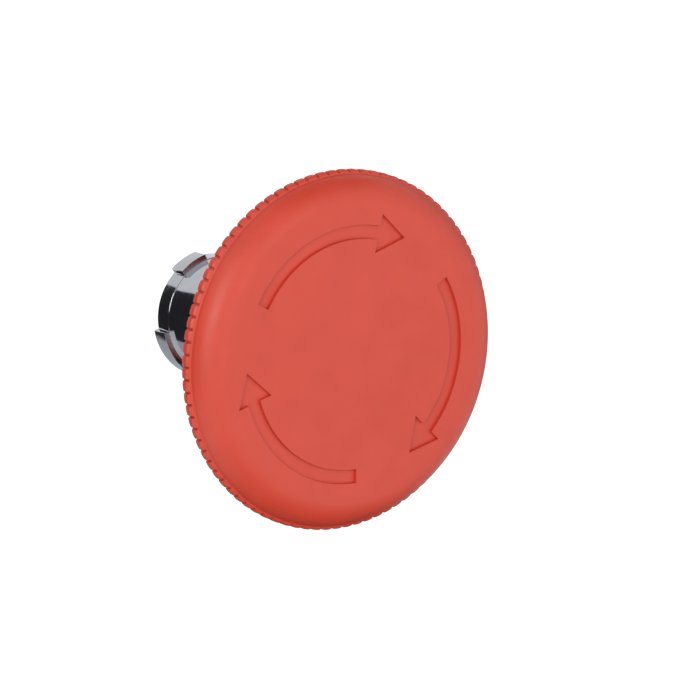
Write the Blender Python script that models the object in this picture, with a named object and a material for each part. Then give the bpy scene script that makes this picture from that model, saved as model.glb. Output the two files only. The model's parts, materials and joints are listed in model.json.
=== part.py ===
"""Emergency stop operator head: a 60 mm mushroom cap that latches when pushed and is
released by turning it clockwise, on a chrome-plated barrel for a 22 mm panel hole.

Frame: the operating axis is Y. The head faces -Y and the barrel runs to +Y. The origin is
the centre of the panel's front face, where the gasket seats. +Z is up. Metres.

Sections are written as (radius, y) pairs in millimetres, and mm() turns them into metres.
Angles are measured from +X towards +Z, as seen from the front.
"""
import math

import bmesh
import bpy
from mathutils import Matrix, Vector

# Driving dimensions, in millimetres unless the name says otherwise.
TRAVEL = 4.5                # push travel of the head
TURN_DEG = 45.0             # clockwise turn that releases the latch
GAP = 0.3                   # clearance between faces that touch on the real object

FACE_Y = -28.5              # front face of the cap
CAP_R = 30.0                # over the crests of the grip teeth
CAP_DEPTH = 11.5            # face to the skirt's rear edge
CAP_PLATE = 2.9             # thickness of the cap's front plate
FLAT_R = 24.4               # edge of the flat face, where the shoulder starts
SHOULDER_RADIAL = 5.1       # half-axes of the shoulder's elliptical section
SHOULDER_AXIAL = 5.0
SHOULDER_R = 29.2           # radius where the shoulder meets the grip band
BEVEL_R = 29.6              # front of the bevel on the grip teeth
BEVEL_FRONT = 3.7           # depths behind the face of the bevel and of the crest band
BAND_FRONT = 4.2
BAND_REAR = 5.29
TEETH = 90                  # grip teeth round the rim
TOOTH_DEPTH = 0.5
TOOTH_PHASE_DEG = 2.7       # centre of one groove
CAP_RIBS = 12
BOSS_R = 9.0                # boss under the cap that takes the hub's spigot
BOSS_BORE_R = 6.4
BOSS_END_Y = -19.6
CLIP_Y = -22.7              # plane of the snap ring that holds the cap on the hub

ARROWS = 3                  # recessed arrows, evenly spaced
ARROW_TAIL_DEG = 150.9
ARROW_BASE_DEG = 76.2       # where the shaft meets the arrowhead
ARROW_TIP_DEG = 61.7
ARROW_SHAFT_R = (19.15, 21.45)
ARROW_HEAD_R = (16.96, 23.41)
ARROW_TIP_R = 20.92
ARROW_RECESS = 0.6

HUB_SLEEVE_R = 8.6          # hub sleeve, which slides in the barrel
HUB_SLEEVE_BORE_R = 7.4
HUB_END_Y = -4.6
HUB_WEB_Y = -17.0           # underside of the hub's web, over the two springs
DOGS = 3                    # driving dogs between hub and cap
DOG_DEG = 30.0              # angle of the first dog
DOG_LENGTH = 1.4
DOG_HALF_WIDTH = 1.2

BARREL_R = 10.25            # rear ring of the barrel
WAIST_R = 10.05             # barrel between the panel and the rear ring
SPIGOT_R = 11.05            # locating diameter in the panel hole
BORE_R = 9.0
BARREL_END_Y = 16.2
FLANGE_R = 14.5
NECK_R = 12.7
NECK_END_Y = -12.5
LUG_R = 11.15
LUG_FRONT_Y = 12.6
LUG_SPANS_DEG = ((103.0, 131.8), (189.6, 247.6), (283.0, 311.8), (369.6, 427.6))
KEY_HALF_WIDTH = 1.5        # key for the notch in the panel hole
KEY_R = 11.9
WEB_Y = (0.8, 2.2)          # web inside the barrel that carries the guide bush
STOP_DEG = 270.0            # rib in the barrel that limits the turn, in a slot of the hub sleeve
STOP_HALF_WIDTH = 0.8
STOP_SLOT_MARGIN_DEG = 8.0
GROOVE_Y = (15.15, 15.9)    # circlip groove
GROOVE_R = 9.55

STEM_R = 3.0
SLEEVE_R = 5.0              # latch cam, on its land
POCKET_R = 4.1              # latch cam, at the bottom of its pockets
PIN_Y = 5.3                 # plane of the latch pins
PIN_R = 1.1
PIN_TIP = 5.3               # distance of a pin's tip from the axis, released
PIN_TAIL = 7.45
PIN_ANGLES_DEG = (90.0, 210.0, 330.0)
PIN_RATIO = 0.2             # inward pin travel per unit of push travel

NOSE_Y = -5.0               # front of the guide bush, where both springs seat
SPRING_TOP_Y = -15.9
RETURN_SPRING_R = 6.3       # mean radii of the two springs
TORSION_SPRING_R = 4.4
PLUNGER_Y = 8.25
PLUNGER_REAR_Y = 15.8
COVER_Y = (14.25, 15.05)
WINDOW_HALF_LENGTH = 6.8    # window in the rear cover for the contact plunger
WINDOW_HALF_WIDTH = 4.0


def mm(value):
    return value * 0.001


def clear_scene():
    for obj in list(bpy.data.objects):
        bpy.data.objects.remove(obj, do_unlink=True)


def material(name, colour, roughness, metallic=0.0):
    mat = bpy.data.materials.new(name)
    mat.use_nodes = True
    shader = mat.node_tree.nodes["Principled BSDF"]
    shader.inputs["Base Color"].default_value = (*colour, 1.0)
    shader.inputs["Roughness"].default_value = roughness
    shader.inputs["Metallic"].default_value = metallic
    return mat


def point(radius, y, angle_deg):
    """A point in metres at a radius and an angle round the operating axis."""
    a = math.radians(angle_deg)
    return Vector((mm(radius) * math.cos(a), mm(y), mm(radius) * math.sin(a)))


def finish(bm, name, finish_of, parent, sharp_deg=32.0):
    """Turn a bmesh into a named object with outward faces, smooth shading and a material."""
    bmesh.ops.recalc_face_normals(bm, faces=bm.faces)
    mesh = bpy.data.meshes.new(name)
    bm.to_mesh(mesh)
    bm.free()
    mesh.shade_smooth()
    mesh.set_sharp_from_angle(angle=math.radians(sharp_deg))
    mesh.materials.append(finish_of(name))
    obj = bpy.data.objects.new(name, mesh)
    bpy.context.scene.collection.objects.link(obj)
    obj.parent = parent
    return obj


def group(name, location=(0.0, 0.0, 0.0), parent=None):
    """An empty on a joint's axis, which carries the pieces of one moving body."""
    empty = bpy.data.objects.new(name, None)
    empty.location = location
    empty.parent = parent
    bpy.context.scene.collection.objects.link(empty)
    return empty


def boolean(obj, operation, tools):
    """Join or cut obj with helper solids, which stay out of the render."""
    for tool in tools:
        tool.hide_render = True
        tool.display_type = "WIRE"
        modifier = obj.modifiers.new(operation.title(), "BOOLEAN")
        modifier.operation = operation
        modifier.solver = "EXACT"
        modifier.object = tool
    return obj


def ring_strip(bm, ring_a, ring_b):
    """Faces between two rings with the same number of points."""
    count = len(ring_a)
    for i in range(count):
        j = (i + 1) % count
        bm.faces.new((ring_a[i], ring_a[j], ring_b[j], ring_b[i]))


def turned(section, segments):
    """A solid of revolution. The section is a closed loop of (radius, y), or runs from the
    axis to the axis where its first and last radius are 0."""
    bm = bmesh.new()
    rings = []
    for radius, y in section:
        if radius == 0.0:
            rings.append([bm.verts.new(point(0.0, y, 0.0))])
        else:
            step = 360.0 / segments
            rings.append([bm.verts.new(point(radius, y, i * step)) for i in range(segments)])
    closed = section[0][0] != 0.0
    pairs = list(zip(rings, rings[1:]))
    if closed:
        pairs.append((rings[-1], rings[0]))
    for ring_a, ring_b in pairs:
        if len(ring_a) == 1 or len(ring_b) == 1:
            tip, ring = (ring_a, ring_b) if len(ring_a) == 1 else (ring_b, ring_a)
            for i in range(segments):
                bm.faces.new((tip[0], ring[i], ring[(i + 1) % segments]))
        else:
            ring_strip(bm, ring_a, ring_b)
    return bm


def prism(outline, y_front, y_rear):
    """A solid between two planes across the axis. The outline is a loop of (x, z) in mm."""
    bm = bmesh.new()
    front = [bm.verts.new((mm(x), mm(y_front), mm(z))) for x, z in outline]
    rear = [bm.verts.new((mm(x), mm(y_rear), mm(z))) for x, z in outline]
    bm.faces.new(front)
    bm.faces.new(rear)
    ring_strip(bm, front, rear)
    return bm


def polar(radius, angle_deg):
    a = math.radians(angle_deg)
    return (radius * math.cos(a), radius * math.sin(a))


def arc(radius, start_deg, end_deg, steps):
    """Points (x, z) on an arc round the axis, both ends included."""
    return [polar(radius, start_deg + (end_deg - start_deg) * i / steps) for i in range(steps + 1)]


def sector(inner, outer, start_deg, end_deg, steps):
    """Outline of a ring sector."""
    return arc(outer, start_deg, end_deg, steps) + arc(inner, end_deg, start_deg, steps)


def radial_bar(half_width, r_inner, r_outer, angle_deg):
    """Outline of a straight bar that points away from the axis."""
    corners = (
        (r_inner, -half_width), (r_outer, -half_width), (r_outer, half_width), (r_inner, half_width),
    )
    a = math.radians(angle_deg)
    return [(u * math.cos(a) - v * math.sin(a), u * math.sin(a) + v * math.cos(a)) for u, v in corners]


def stadium(half_length, half_width, steps):
    """Outline of a slot with round ends, along X."""
    straight = half_length - half_width
    right = [(straight + x, z) for x, z in arc(half_width, -90.0, 90.0, steps)]
    left = [(-straight + x, z) for x, z in arc(half_width, 90.0, 270.0, steps)]
    return right + left


def wire(path, radius, sides):
    """A round wire along a list of points in mm, with flat ends."""
    bm = bmesh.new()
    points = [Vector(p) * 0.001 for p in path]
    rings = []
    for i, here in enumerate(points):
        ahead = points[min(i + 1, len(points) - 1)]
        behind = points[max(i - 1, 0)]
        along = (ahead - behind).normalized()
        out = Vector((here.x, 0.0, here.z)).normalized()
        side = along.cross(out).normalized()
        out = side.cross(along).normalized()
        ring = []
        for k in range(sides):
            a = 2.0 * math.pi * k / sides
            ring.append(bm.verts.new(here + mm(radius) * (math.cos(a) * out + math.sin(a) * side)))
        rings.append(ring)
    for ring_a, ring_b in zip(rings, rings[1:]):
        ring_strip(bm, ring_a, ring_b)
    bm.faces.new(rings[0])
    bm.faces.new(rings[-1])
    return bm


def coil(mean_r, y_start, y_end, turns, steps_per_turn, start_deg=0.0):
    """Points of a helix whose end turns lie nearly flat."""
    total = round(turns * steps_per_turn)
    dead = steps_per_turn * 0.75
    points = []
    for i in range(total + 1):
        t = min(max((i - dead) / (total - 2.0 * dead), 0.0), 1.0)
        flat = 0.12 * (i / total - 0.5)
        y = y_start + (y_end - y_start) * (t * 0.88 + 0.06 + flat)
        x, z = polar(mean_r, start_deg + 360.0 * i / steps_per_turn)
        points.append((x, y, z))
    return points


def round_section(centre_r, centre_y, radius, steps):
    """Section of a torus."""
    return [
        (centre_r + u, centre_y + v)
        for u, v in (polar(radius, 360.0 * i / steps) for i in range(steps))
    ]


# ---------------------------------------------------------------- finishes

def red_plastic(name):
    return material(name, (0.62, 0.055, 0.035), 0.42)


def black_plastic(name):
    return material(name, (0.03, 0.03, 0.032), 0.5)


def grey_plastic(name):
    return material(name, (0.42, 0.43, 0.44), 0.5)


def chrome(name):
    return material(name, (0.78, 0.79, 0.82), 0.12, 1.0)


def steel(name):
    return material(name, (0.55, 0.55, 0.56), 0.3, 1.0)


def brass(name):
    return material(name, (0.72, 0.55, 0.25), 0.3, 1.0)


def rubber(name):
    return material(name, (0.02, 0.02, 0.02), 0.8)


# ---------------------------------------------------------------- turning head

def shoulder(steps):
    """Elliptical section from the flat face to the grip band, as (radius, depth)."""
    last = math.asin((SHOULDER_R - FLAT_R) / SHOULDER_RADIAL)
    points = []
    for i in range(steps + 1):
        t = last * i / steps
        depth = SHOULDER_AXIAL * (1.0 - math.cos(t))
        points.append((FLAT_R + SHOULDER_RADIAL * math.sin(t), depth))
    return points


def cap_shell():
    """Front plate, shoulder, toothed band and skirt. Plain rings have one point for each
    tooth, and rings in the band have three: two pad edges with a groove's floor between."""
    bm = bmesh.new()
    pitch = 360.0 / TEETH
    places = (-0.19, 0.0, 0.19)
    cuts = (0.0, TOOTH_DEPTH, 0.0)
    per_tooth = len(places)

    def plain(radius, depth):
        angles = [TOOTH_PHASE_DEG + (i + 0.5) * pitch for i in range(TEETH)]
        return [bm.verts.new(point(radius, FACE_Y + depth, angle)) for angle in angles]

    def toothed(radius, depth):
        ring = []
        for i in range(TEETH):
            for place, cut in zip(places, cuts):
                angle = TOOTH_PHASE_DEG + (i + place) * pitch
                ring.append(bm.verts.new(point(radius - cut, FACE_Y + depth, angle)))
        return ring

    def fan(plain_ring, toothed_ring):
        """Join a plain ring to a toothed one, a pitch at a time."""
        for i in range(TEETH):
            before = plain_ring[i - 1]
            after = plain_ring[i]
            left, floor, right = toothed_ring[per_tooth * i: per_tooth * (i + 1)]
            following = toothed_ring[per_tooth * (i + 1) % len(toothed_ring)]
            bm.faces.new((before, left, floor))
            bm.faces.new((before, floor, after))
            bm.faces.new((floor, right, after))
            bm.faces.new((after, right, following))

    front = [plain(r, d) for r, d in shoulder(4)]
    band_section = ((BEVEL_R, BEVEL_FRONT), (CAP_R, BAND_FRONT), (CAP_R, BAND_REAR))
    band = [toothed(r, d) for r, d in band_section]
    skirt_section = (
        (28.9, 6.1), (26.8, 9.2), (25.4, CAP_DEPTH), (24.0, CAP_DEPTH), (23.4, 4.6),
        (21.8, CAP_PLATE),
    )
    skirt = [plain(r, d) for r, d in skirt_section]
    bm.faces.new(front[0])
    for rings in (front, band, skirt):
        for ring_a, ring_b in zip(rings, rings[1:]):
            ring_strip(bm, ring_a, ring_b)
    fan(front[-1], band[0])
    fan(skirt[0], band[-1])
    bm.faces.new(skirt[-1])
    return bm


def cap_boss(parent):
    """Boss under the front plate, with a groove inside for the snap ring."""
    plate_y = FACE_Y + CAP_PLATE
    section = [
        (BOSS_BORE_R, plate_y - 0.5), (BOSS_R, plate_y - 0.5), (BOSS_R, BOSS_END_Y),
        (BOSS_BORE_R, BOSS_END_Y), (BOSS_BORE_R, CLIP_Y + 0.75), (7.1, CLIP_Y + 0.75),
        (7.1, CLIP_Y - 0.75), (BOSS_BORE_R, CLIP_Y - 0.75),
    ]
    return finish(turned(section, 36), "boss_helper", red_plastic, parent)


def arrow_outline(turn_deg):
    """One curved arrow with a straight-sided head, pointing clockwise."""
    tail = ARROW_TAIL_DEG + turn_deg
    base = ARROW_BASE_DEG + turn_deg
    inner, outer = ARROW_SHAFT_R
    head = [
        polar(ARROW_HEAD_R[1], base),
        polar(ARROW_TIP_R, ARROW_TIP_DEG + turn_deg),
        polar(ARROW_HEAD_R[0], base),
    ]
    return arc(outer, tail, base, 12) + head + arc(inner, base, tail, 12)


def mushroom_cap(parent):
    cap = finish(cap_shell(), "mushroom_cap", red_plastic, parent)
    joined = [cap_boss(parent)]
    for i in range(CAP_RIBS):
        outline = radial_bar(0.6, BOSS_R - 0.5, 23.2, (i + 0.5) * 360.0 / CAP_RIBS)
        bm = prism(outline, FACE_Y + CAP_PLATE - 0.4, FACE_Y + 6.1)
        joined.append(finish(bm, f"rib_helper_{i + 1}", red_plastic, parent))
    boolean(cap, "UNION", joined)
    cutters = []
    for i in range(ARROWS):
        bm = prism(arrow_outline(-i * 360.0 / ARROWS), FACE_Y - 1.0, FACE_Y + ARROW_RECESS)
        cutters.append(finish(bm, f"arrow_cutter_{i + 1}", red_plastic, parent))
    for i in range(DOGS):
        angle = DOG_DEG + i * 360.0 / DOGS
        outline = radial_bar(DOG_HALF_WIDTH + GAP, BOSS_BORE_R - 1.0, BOSS_R + 1.0, angle)
        bm = prism(outline, BOSS_END_Y - DOG_LENGTH, BOSS_END_Y + 1.0)
        cutters.append(finish(bm, f"dog_notch_cutter_{i + 1}", red_plastic, parent))
    boolean(cap, "DIFFERENCE", cutters)


def cap_hub(parent):
    section = [
        (3.6, -25.2), (5.8, -25.2), (6.1, -24.9), (6.1, CLIP_Y - 0.7), (5.4, CLIP_Y - 0.7),
        (5.4, CLIP_Y + 0.7), (6.1, CLIP_Y + 0.7), (6.1, -19.3), (11.9, -19.3), (12.3, -18.9),
        (12.3, -18.0), (11.9, -17.6), (HUB_SLEEVE_R, -17.6), (HUB_SLEEVE_R, HUB_END_Y),
        (HUB_SLEEVE_BORE_R, HUB_END_Y), (HUB_SLEEVE_BORE_R, HUB_WEB_Y), (3.2, HUB_WEB_Y),
        (3.2, -20.6), (1.8, -20.6), (1.8, -22.9), (3.6, -22.9),
    ]
    hub = finish(turned(section, 36), "cap_hub", black_plastic, parent)
    dogs = []
    for i in range(DOGS):
        outline = radial_bar(DOG_HALF_WIDTH, 5.6, BOSS_R - 0.2, DOG_DEG + i * 360.0 / DOGS)
        bm = prism(outline, BOSS_END_Y - DOG_LENGTH + GAP, -19.0)
        dogs.append(finish(bm, f"dog_helper_{i + 1}", black_plastic, parent))
    boolean(hub, "UNION", dogs)
    slot_start = STOP_DEG - STOP_SLOT_MARGIN_DEG
    slot_end = STOP_DEG + TURN_DEG + STOP_SLOT_MARGIN_DEG
    slot = sector(HUB_SLEEVE_BORE_R - 0.6, HUB_SLEEVE_R + 0.8, slot_start, slot_end, 12)
    slot_solid = prism(slot, -11.5, HUB_END_Y + 1.0)
    boolean(hub, "DIFFERENCE", [finish(slot_solid, "stop_slot_cutter", black_plastic, parent)])


def cap_clip(parent):
    """Wire snap ring that holds the cap on the hub's spigot."""
    path = [(x, CLIP_Y, z) for x, z in arc(6.25, -78.0, 258.0, 30)]
    finish(wire(path, 0.42, 6), "cap_clip", steel, parent)


def hub_screw(parent):
    section = [
        (0.0, -25.0), (2.0, -25.0), (2.7, -24.5), (2.7, -23.65), (1.5, -23.65), (1.5, -12.9),
        (1.2, -12.6), (0.0, -12.6),
    ]
    screw = finish(turned(section, 20), "hub_screw", steel, parent)
    slot = prism(((-1.8, -0.35), (1.8, -0.35), (1.8, 0.35), (-1.8, 0.35)), -25.5, -24.2)
    boolean(screw, "DIFFERENCE", [finish(slot, "screw_slot_cutter", steel, parent)])


def screw_washer(parent):
    section = [(1.75, -23.5), (3.3, -23.5), (3.3, -23.1), (1.75, -23.1)]
    finish(turned(section, 24), "screw_washer", steel, parent)


def thrust_washer(parent):
    """Slippery washer between the turning hub and the return spring."""
    front = HUB_WEB_Y + 0.2
    rear = front + 0.5
    section = [(3.4, front), (7.1, front), (7.1, rear), (3.4, rear)]
    finish(turned(section, 28), "thrust_washer", brass, parent)


def drive_pin_tool(radius, half_length, name, finish_of, parent):
    bm = bmesh.new()
    turn = Matrix.Rotation(math.radians(90.0), 4, "Y")
    bmesh.ops.create_cone(
        bm, cap_ends=True, segments=14, radius1=mm(radius), radius2=mm(radius),
        depth=mm(2.0 * half_length), matrix=Matrix.Translation((0.0, mm(-0.1), 0.0)) @ turn,
    )
    return finish(bm, name, finish_of, parent)


def stem(parent):
    section = [
        (0.0, -11.5), (1.8, -11.5), (1.8, -20.3), (STEM_R, -20.3), (STEM_R, 7.35), (2.2, 7.35),
        (2.2, 8.05), (2.0, 8.05), (2.0, 10.35), (1.5, 10.35), (1.5, 11.25), (2.0, 11.25),
        (2.0, 12.2), (1.7, 12.5), (0.0, 12.5),
    ]
    spindle = finish(turned(section, 24), "stem", steel, parent)
    hole = drive_pin_tool(0.9, 6.0, "stem_cross_hole_cutter", steel, parent)
    boolean(spindle, "DIFFERENCE", [hole])


def cam_radius(angle_deg, y):
    """Outside of the latch cam: three pockets that the pins drop into as the head goes in,
    with a ramp behind each and lobes between them."""
    in_pocket = False
    for pin in PIN_ANGLES_DEG:
        swept = (angle_deg - (pin - 21.0)) % 360.0
        in_pocket = in_pocket or swept <= TURN_DEG + 42.0
    if not in_pocket or y < -0.8:
        return SLEEVE_R
    if y <= 2.2:
        return POCKET_R
    ramp_start = PIN_TIP - PIN_RATIO * (PIN_Y + PIN_R - y) - 0.25
    return min(SLEEVE_R, ramp_start)


def cam_sleeve(parent):
    segments = 48
    bore = 3.25
    levels = (-1.7, -0.81, -0.79, 2.2, 2.3, 4.2, 6.15, 7.1)
    bm = bmesh.new()
    step = 360.0 / segments

    def ring(y, radius_at):
        return [bm.verts.new(point(radius_at(i * step), y, i * step)) for i in range(segments)]

    rings = [ring(levels[0], lambda a: bore)]
    for y in levels:
        rings.append(ring(y, lambda a, y=y: cam_radius(a, y)))
    rings.append(ring(levels[-1], lambda a: bore))
    for ring_a, ring_b in zip(rings, rings[1:] + rings[:1]):
        ring_strip(bm, ring_a, ring_b)
    sleeve = finish(bm, "cam_sleeve", grey_plastic, parent)
    hole = drive_pin_tool(0.9, 6.0, "sleeve_cross_hole_cutter", grey_plastic, parent)
    boolean(sleeve, "DIFFERENCE", [hole])


def stem_e_clip(parent):
    outline = sector(2.35, 4.3, -50.0, 230.0, 24)
    finish(prism(outline, 7.45, 7.95), "stem_e_clip", steel, parent)


def turning_head(parent):
    mushroom_cap(parent)
    cap_hub(parent)
    cap_clip(parent)
    hub_screw(parent)
    screw_washer(parent)
    thrust_washer(parent)
    stem(parent)
    cam_sleeve(parent)
    drive_pin_tool(0.7, 4.55, "drive_pin", steel, parent)
    stem_e_clip(parent)


# ---------------------------------------------------------------- sliding plunger

def contact_plunger(parent):
    disc_rear = PLUNGER_Y + 1.2
    disc = [
        (0.0, PLUNGER_Y), (7.3, PLUNGER_Y), (7.6, PLUNGER_Y + 0.3), (7.6, disc_rear - 0.3),
        (7.3, disc_rear), (0.0, disc_rear),
    ]
    plunger = finish(turned(disc, 36), "contact_plunger", grey_plastic, parent)
    outline = stadium(WINDOW_HALF_LENGTH - GAP, WINDOW_HALF_WIDTH - GAP, 9)
    bar = prism(outline, disc_rear - 0.4, PLUNGER_REAR_Y)
    boolean(plunger, "UNION", [finish(bar, "plunger_bar_helper", grey_plastic, parent)])
    socket = [
        (0.0, PLUNGER_Y - 1.0), (2.25, PLUNGER_Y - 1.0), (2.25, 10.3), (2.8, 10.3), (2.8, 11.3),
        (2.25, 11.3), (2.25, 12.8), (0.0, 12.8),
    ]
    cutter = finish(turned(socket, 20), "plunger_socket_cutter", grey_plastic, parent)
    boolean(plunger, "DIFFERENCE", [cutter])


def plunger_snap_ring(parent):
    path = [(x, 10.8, z) for x, z in arc(2.15, -65.0, 245.0, 16)]
    finish(wire(path, 0.28, 6), "plunger_snap_ring", steel, parent)


# ---------------------------------------------------------------- fixed body

def bezel_body(parent):
    section = [
        (12.4, NECK_END_Y), (NECK_R, NECK_END_Y + 0.3), (NECK_R, -5.6), (13.0, -4.9), (13.7, -4.5),
        (14.25, -4.2), (FLANGE_R, -3.7), (FLANGE_R, -1.5), (14.2, -1.2), (SPIGOT_R, -1.2),
        (SPIGOT_R, 4.2), (10.75, 4.5), (WAIST_R, 4.5), (WAIST_R, LUG_FRONT_Y),
        (BARREL_R, LUG_FRONT_Y), (BARREL_R, 15.95), (10.0, BARREL_END_Y), (BORE_R, BARREL_END_Y),
        (BORE_R, GROOVE_Y[1]), (GROOVE_R, GROOVE_Y[1]), (GROOVE_R, GROOVE_Y[0]),
        (BORE_R, GROOVE_Y[0]), (BORE_R, WEB_Y[1]), (7.3, WEB_Y[1]), (7.3, WEB_Y[0]),
        (BORE_R, WEB_Y[0]), (BORE_R, -9.9), (11.4, -9.9), (11.4, NECK_END_Y),
    ]
    body = finish(turned(section, 54), "bezel_body", chrome, parent)
    joined = []
    for number, (start, end) in enumerate(LUG_SPANS_DEG, 1):
        outline = sector(9.7, LUG_R, start, end, max(4, round((end - start) / 5.0)))
        lug = prism(outline, LUG_FRONT_Y, BARREL_END_Y)
        joined.append(finish(lug, f"lug_helper_{number}", chrome, parent))
    key = prism(radial_bar(KEY_HALF_WIDTH, 10.2, KEY_R, 90.0), -2.0, 2.5)
    joined.append(finish(key, "panel_key_helper", chrome, parent))
    stop = prism(radial_bar(STOP_HALF_WIDTH, 7.9, 9.4, STOP_DEG), -6.0, 1.2)
    joined.append(finish(stop, "turn_stop_helper", chrome, parent))
    boolean(body, "UNION", joined)


def panel_gasket(parent):
    section = [(11.35, -0.9), (13.9, -0.9), (13.9, 0.0), (11.35, 0.0)]
    gasket = finish(turned(section, 54), "panel_gasket", rubber, parent)
    notch = prism(radial_bar(KEY_HALF_WIDTH + GAP, 10.5, KEY_R + GAP, 90.0), -1.5, 0.5)
    boolean(gasket, "DIFFERENCE", [finish(notch, "gasket_notch_cutter", rubber, parent)])


def wiper_seal(parent):
    section = [
        (8.8, -12.2), (9.3, -12.45), (11.15, -12.45), (11.15, -10.15), (9.6, -10.15), (9.3, -11.2),
        (8.8, -11.7),
    ]
    finish(turned(section, 36), "wiper_seal", rubber, parent)


def guide_bush(parent):
    section = [
        (3.4, NOSE_Y), (6.9, NOSE_Y), (6.9, 2.5), (8.7, 2.5), (8.7, 4.6), (7.35, 4.6), (7.35, 6.0),
        (8.7, 6.0), (8.7, 7.4), (5.3, 7.4), (5.3, -2.0), (3.4, -2.0), (3.4, -2.8), (4.5, -2.8),
        (4.5, -4.2), (3.4, -4.2),
    ]
    bush = finish(turned(section, 36), "guide_bush", black_plastic, parent)
    holes = []
    for number, angle in enumerate(PIN_ANGLES_DEG, 1):
        bm = bmesh.new()
        bmesh.ops.create_cone(
            bm, cap_ends=True, segments=16, radius1=mm(PIN_R + GAP), radius2=mm(PIN_R + GAP),
            depth=mm(5.0), matrix=radial_frame(6.6, angle),
        )
        holes.append(finish(bm, f"pin_hole_cutter_{number}", black_plastic, parent))
    boolean(bush, "DIFFERENCE", holes)


def radial_frame(radius, angle_deg):
    """A frame in the latch plane whose local Z points away from the axis."""
    a = math.radians(angle_deg)
    turn = Matrix.Rotation(math.radians(90.0) - a, 4, "Y")
    return Matrix.Translation(point(radius, PIN_Y, angle_deg)) @ turn


def stem_o_ring(parent):
    finish(turned(round_section(3.72, -3.5, 0.5, 8), 24), "stem_o_ring", rubber, parent)


def latch_ring_spring(parent):
    """Open wire ring that presses the three latch pins inwards."""
    path = [(x, PIN_Y, z) for x, z in arc(8.05, -80.0, 260.0, 32)]
    finish(wire(path, 0.33, 6), "latch_ring_spring", steel, parent)


def return_spring(parent):
    path = coil(RETURN_SPRING_R, SPRING_TOP_Y, NOSE_Y - 0.4, 5.5, 16)
    finish(wire(path, 0.45, 5), "return_spring", steel, parent)


def torsion_spring(parent):
    path = coil(TORSION_SPRING_R, SPRING_TOP_Y, NOSE_Y - 0.4, 6.5, 12, 180.0)
    finish(wire(path, 0.32, 5), "torsion_spring", steel, parent)


def rear_cover(parent):
    section = [(0.0, COVER_Y[0]), (8.7, COVER_Y[0]), (8.7, COVER_Y[1]), (0.0, COVER_Y[1])]
    cover = finish(turned(section, 48), "rear_cover", black_plastic, parent)
    outline = stadium(WINDOW_HALF_LENGTH, WINDOW_HALF_WIDTH, 9)
    window = prism(outline, COVER_Y[0] - 1.0, COVER_Y[1] + 1.0)
    boolean(cover, "DIFFERENCE", [finish(window, "window_cutter", black_plastic, parent)])


def rear_circlip(parent):
    """Internal circlip with an ear at each end."""
    outer = arc(9.35, -74.0, 254.0, 36)
    inner = arc(8.2, 240.0, -60.0, 32)
    outline = outer + arc(7.3, 254.0, 243.0, 3) + inner + arc(7.3, -63.0, -74.0, 3)
    finish(prism(outline, GROOVE_Y[0] + 0.18, GROOVE_Y[1] - 0.15), "rear_circlip", steel, parent)


def fixed_body(parent):
    bezel_body(parent)
    panel_gasket(parent)
    wiper_seal(parent)
    guide_bush(parent)
    stem_o_ring(parent)
    latch_ring_spring(parent)
    return_spring(parent)
    torsion_spring(parent)
    rear_cover(parent)
    rear_circlip(parent)


# ---------------------------------------------------------------- latch pins

def latch_pin(letter, angle_deg):
    """A pin with a domed tip. Its own Z points away from the axis."""
    carrier = group(f"latch_{letter}_axis")
    carrier.matrix_world = radial_frame(0.0, angle_deg)
    dome = [(0.0, PIN_TIP), (0.6, PIN_TIP + 0.1), (1.0, PIN_TIP + 0.35), (PIN_R, PIN_TIP + 0.7)]
    tail = [(PIN_R, PIN_TAIL - 0.2), (PIN_R - 0.2, PIN_TAIL), (0.0, PIN_TAIL)]
    solid = turned(dome + tail, 14)
    upright = Matrix.Rotation(math.radians(90.0), 3, "X")
    bmesh.ops.rotate(solid, verts=solid.verts, cent=(0.0, 0.0, 0.0), matrix=upright)
    finish(solid, f"latch_pin_{letter}", brass, carrier)


def build():
    clear_scene()
    fixed_axis = group("fixed_axis")
    push_axis = group("push_axis", parent=fixed_axis)
    turn_axis = group("turn_axis", parent=push_axis)
    fixed_body(fixed_axis)
    contact_plunger(push_axis)
    plunger_snap_ring(push_axis)
    turning_head(turn_axis)
    for letter, angle in zip("abc", PIN_ANGLES_DEG):
        latch_pin(letter, angle)


build()
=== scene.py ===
"""Looks of the emergency stop operator head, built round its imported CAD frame.

The axes are the CAD's. The operating axis is Y, the head faces -Y, the panel's front face is
the plane y = 0 and +Z is up. Sections are (radius, y) pairs, outlines are (x, z) pairs and
lengths are in millimetres, which mm() turns into metres. Angles run from +X towards +Z.
"""
import json
import math

import bmesh
import bpy
from mathutils import Matrix, Vector

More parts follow.
